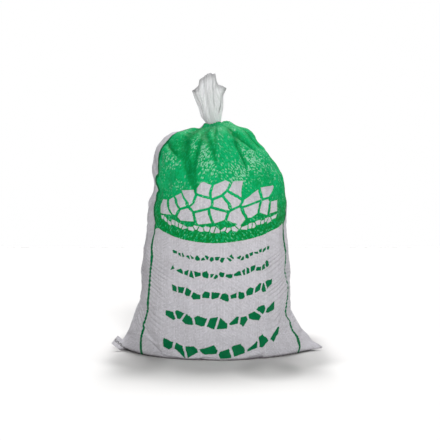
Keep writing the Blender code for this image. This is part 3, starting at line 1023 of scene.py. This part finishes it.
def wovenMaterial():
    shader = Shader("woven_printed_cloth")
    u, v, _ = shader.parts(shader.uv("print"))
    a, b, _ = shader.parts(shader.uv("weave"))
    a, b = a / weave["tape"] + 400.0, b / weave["tape"] + 400.0
    column, row = a.floor(), b.floor()
    over = shader.node("Math", {"operation": "PINGPONG"}, (column + row, 1.0))
    fa, fb = a.fraction() - 0.5, b.fraction() - 0.5
    crownA, crownB = 1 - abs(fa * 2.0) ** 5.0, 1 - abs(fb * 2.0) ** 5.0
    archA, archB = 1 - (fa * fa) * 2.2, 1 - (fb * fb) * 2.2
    warp, weft = crownA * archB, crownB * archA
    tape = over * warp + (1 - over) * weft
    warpTone, weftTone = (shader.node("TexWhiteNoise", {"noise_dimensions": "1D"}, {"W": each})
                          for each in (column, row + 0.5))
    tone = over * warpTone + (1 - over) * weftTone
    cell = shader.node("TexWhiteNoise", {"noise_dimensions": "2D"},
                       {"Vector": shader.joined(column, row)})

    jitter = (cell - 0.5) * 0.0007
    green, marks = printMasks(shader, u + jitter, v + jitter)
    tuft = v.between(0.630, 0.640)
    # the tuft is painted lighter than the body, a painted glow of light through its thin cloth
    white = shader.mix(tuft, weave["white"], weave["tuftGlowWhite"])
    paintedShade, paintedHighlight, _ = shader.parts(shader.uv("paintedShadeAndHighlight"))
    # painted shade: the tuft's creases, its frayed mouth and its two side folds are painted grey,
    # and below the tuft the crimps are
    tuftPaintedShade = paintedShade.largest(v.between(*weave["mouthEdge"]))
    for place, wide in weave["sideFoldShadows"]:
        tuftPaintedShade = tuftPaintedShade.largest((wide - abs(u - place)).between(0.0, wide))
    white = shader.mix(tuftPaintedShade * tuft * weave["tuftShadeShare"], white, weave["tuftShadeGrey"])
    white = shader.mix(paintedShade * (1 - tuft) * weave["crimpShadeShare"], white, weave["crimpShadeGrey"])
    # painted contact shadow: the cloth is painted darker in its lowest few millimetres
    _, _, height = shader.parts(shader.coords())
    paintedContactShadow = (weave["contactShadowHeight"] - height).between(0.0, 0.0045)
    white = shader.mix(paintedContactShadow * weave["contactShadowShare"], white, weave["paintedContactShadow"])
    blotch = shader.noise(shader.uv("weave"), 90.0, 2.0)
    # painted shade: the green is painted darker low on the dome, where it faces less light
    paint = shader.mix(v.between(0.345, 0.430), ink["lowShadeGreen"], ink["green"])
    # painted shade: creases and shaded places are painted a deeper green
    paint = shader.mix(paintedShade, paint, ink["deepGreen"])
    # painted highlight: pale speckles on the lobes stand in for the glints of the tapes
    plainHighlight, lobeHighlight = ink["paintedHighlightShares"]
    share = (plainHighlight + lobeHighlight * paintedHighlight) * (0.6 + 0.75 * blotch.between(0.30, 0.62))
    share = share * v.between(0.36, 0.44)
    paintedGlint = (share - cell).between(-0.12, 0.12) * 0.85
    paint = shader.mix((cell - 0.66).between(-0.1, 0.1) * 0.6, paint, ink["deepGreen"])
    paint = shader.mix((0.30 - cell).between(-0.1, 0.1) * 0.7, paint, ink["green"])
    paint = shader.mix(paintedGlint * (1 - paintedShade), paint, ink["paintedHighlightGreen"])
    # the deepest creases are painted darker still, as painted shade
    paint = shader.mix(paintedShade.between(0.82, 1.0) * 0.3, paint, ink["darkGreen"])
    base = shader.mix(green, white, paint)
    base = shader.mix(marks, base, ink["darkGreen"])
    plain, ofTone, ofTape, ofCell = weave["shades"]
    # the tape's arch term adds painted shade of the weave's relief
    shade = plain + ofTone * tone + ofTape * tape + ofCell * cell
    shade = shader.node("CombineColor", {}, (shade, shade, shade))
    base = shader.node("Mix", {"data_type": "RGBA", "blend_type": "MULTIPLY"},
                       {0: 1.0, 6: base, 7: shade}, 2)
    rough = 0.36 + 0.20 * cell - 0.10 * tone
    normal = shader.bump(shader.noise(shader.uv("weave"), 160.0, 3.0), 0.25, 0.0010)
    normal = shader.bump(tape + 0.35 * cell, 0.8, weave["relief"], normal)
    shader.set(Base_Color=base, Roughness=rough, Normal=normal, Specular_IOR_Level=0.05)
    return shader.material


def wireMaterial():
    shader = Shader("galvanised_wire")
    spots = shader.noise(shader.coords(), 900.0, 4.0)
    base = shader.mix(spots.between(0.35, 0.70), (0.42, 0.43, 0.44, 1), (0.62, 0.63, 0.64, 1))
    shader.set(Base_Color=base, Metallic=1.0, Roughness=0.28 + 0.30 * spots)
    shader.set(Normal=shader.bump(spots, 0.3, 0.0002))
    return shader.material


def stoneMaterial():
    shader = Shader("crushed_stone")
    coords = shader.coords()
    cells = {"Vector": coords, "Scale": 70.0}
    edges = shader.node("TexVoronoi", {"feature": "DISTANCE_TO_EDGE"}, cells)
    tone, _, _ = shader.parts(shader.node("TexVoronoi", {"feature": "F1"}, cells, "Color"))
    grain = shader.noise(coords, 600.0, 6.0)
    base = shader.mix(tone * 0.7 + grain * 0.3, (0.16, 0.155, 0.15, 1), (0.42, 0.40, 0.37, 1))
    # the gaps between the stones are painted near black, as painted shade
    base = shader.mix(edges.between(0.0, 0.12), (0.03, 0.03, 0.03, 1), base)
    normal = shader.bump(edges.between(0.0, 0.25) + grain * 0.2, 0.9, 0.004)
    shader.set(Base_Color=base, Roughness=0.75 + 0.2 * grain, Normal=normal)
    return shader.material


def threadMaterial():
    shader = Shader("sewing_thread")
    ply = shader.noise(shader.coords(), 1500.0, 2.0)
    base = shader.mix(ply, (0.06, 0.057, 0.057, 1), (0.16, 0.155, 0.15, 1))
    shader.set(Base_Color=base, Roughness=0.85, Normal=shader.bump(ply, 0.5, 0.0002))
    return shader.material


def dress(piece, material):
    piece.data.materials.clear()
    piece.data.materials.append(material)


clothMaterial = wovenMaterial()
dress(cloth, clothMaterial)
dress(hemStrip, clothMaterial)
dress(fill, stoneMaterial())
dress(stitches, threadMaterial())
dress(bpy.data.objects["neck_tie"], wireMaterial())
for piece, slot in ((cloth, "woven_cloth"), (hemStrip, "woven_cloth"), (fill, "crushed_stone"),
                    (stitches, "sewing_thread")):
    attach(piece, "root")
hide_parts("woven_sack")
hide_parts("crushed_stone_fill")
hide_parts("hem_thread")
print("materials set")

studio = {
    "cameraDistance": 1.6,
    "cameraHeight": 0.241,
    "cameraX": 0.0065,
    "focalPixels": 866,
    "imagePixels": 440,
    # each sun: strength, height in degrees, how far it is turned from the front, and its width
    "suns": {
        "front_sun": (1.75, 27, 12, 9),
        "top_sun": (2.9, 61, 176, 26),
    },
    "world": 0.24,
    "floorColour": (0.80, 0.79, 0.785, 1),
    # a painted shadow darkens the floor round the sack, more beside its two ears, and in a spot
    # before its right side: strengths, and places and half sizes in x and y
    "tone": {
        "plain": 0.14, "middle": 0.006, "reach": 0.205, "wider": 0.045, "front": -0.47,
        "back": 0.28,
        "ears": 0.30, "earPlace": 0.145, "earHalf": 0.075, "earFront": -0.34,
        "shadowSpot": 0.22, "shadowSpotPlace": (0.085, -0.21), "shadowSpotHalf": (0.065, 0.12),
    },
}


def makeCamera():
    data = bpy.data.cameras.new("camera")
    data.sensor_width = 36
    data.lens = data.sensor_width * studio["focalPixels"] / studio["imagePixels"]
    camera = placed("camera", data)
    camera.location = (studio["cameraX"], -studio["cameraDistance"], studio["cameraHeight"])
    camera.rotation_euler = (math.pi / 2, 0, 0)
    bpy.context.scene.camera = camera


def stageMesh(name, bm, material):
    mesh = bpy.data.meshes.new(name)
    bm.to_mesh(mesh)
    bm.free()
    mesh.materials.append(material)
    piece = placed(name, mesh)
    return piece


def makeStage():
    shader = Shader("studio_floor")
    tone = studio["tone"]
    # the floor's base colour carries a painted shadow round the sack's foot
    x, y, _ = shader.parts(shader.coords())
    aside = abs(x - tone["middle"])
    ears = (tone["earHalf"] - abs(aside - tone["earPlace"])).between(0.0, 0.055)
    ears = ears * (y - tone["earFront"]).between(0.0, 0.17)
    reach = tone["reach"] + tone["wider"] * (y + 0.20).between(0.0, 0.10)
    near = (reach - aside).between(0.0, 0.07) * (y - tone["front"]).between(0.0, 0.25)
    near = near * (tone["back"] - y).between(0.0, 0.14)
    (spotX, spotY), (halfX, halfY) = tone["shadowSpotPlace"], tone["shadowSpotHalf"]
    far = ((x - spotX) / halfX) ** 2.0 + ((y - spotY) / halfY) ** 2.0
    shadowSpot = (1 - far).between(0.0, 1.0)
    dark = near * (tone["plain"] + tone["ears"] * ears + tone["shadowSpot"] * shadowSpot)
    shader.set(Base_Color=shader.mix(dark, studio["floorColour"], (0, 0, 0, 1)), Roughness=0.9)
    bm = bmesh.new()
    bmesh.ops.create_grid(bm, x_segments=1, y_segments=1, size=6)
    stageMesh("floor", bm, shader.material)

    # A plain white surround, seen by the camera only
    glow = Shader("studio_surround")
    light = glow.node("Emission", {}, {"Color": (1, 1, 1, 1), "Strength": 1.0})
    glow.tree.links.new(light.socket, glow.tree.nodes["Material Output"].inputs["Surface"])
    bm = bmesh.new()
    bmesh.ops.create_uvsphere(bm, u_segments=48, v_segments=24, radius=7)
    bmesh.ops.reverse_faces(bm, faces=bm.faces)
    surround = stageMesh("surround", bm, glow.material)
    for kind in ("diffuse", "glossy", "transmission", "shadow"):
        setattr(surround, "visible_" + kind, False)

    world = bpy.data.worlds.new("studio")
    world.use_nodes = True
    background = world.node_tree.nodes["Background"]
    background.inputs["Strength"].default_value = studio["world"]
    background.inputs["Color"].default_value = (1, 1, 1, 1)
    bpy.context.scene.world = world
    for name, (strength, height, turn, wide) in studio["suns"].items():
        sun = bpy.data.lights.new(name, "SUN")
        sun.energy = strength
        sun.angle = math.radians(wide)
        lamp = placed(name, sun)
        lamp.rotation_euler = (math.radians(90 - height), 0, math.radians(turn))


makeCamera()
makeStage()
bpy.context.scene.view_settings.view_transform = "Standard"
print("camera, lights and stage set")
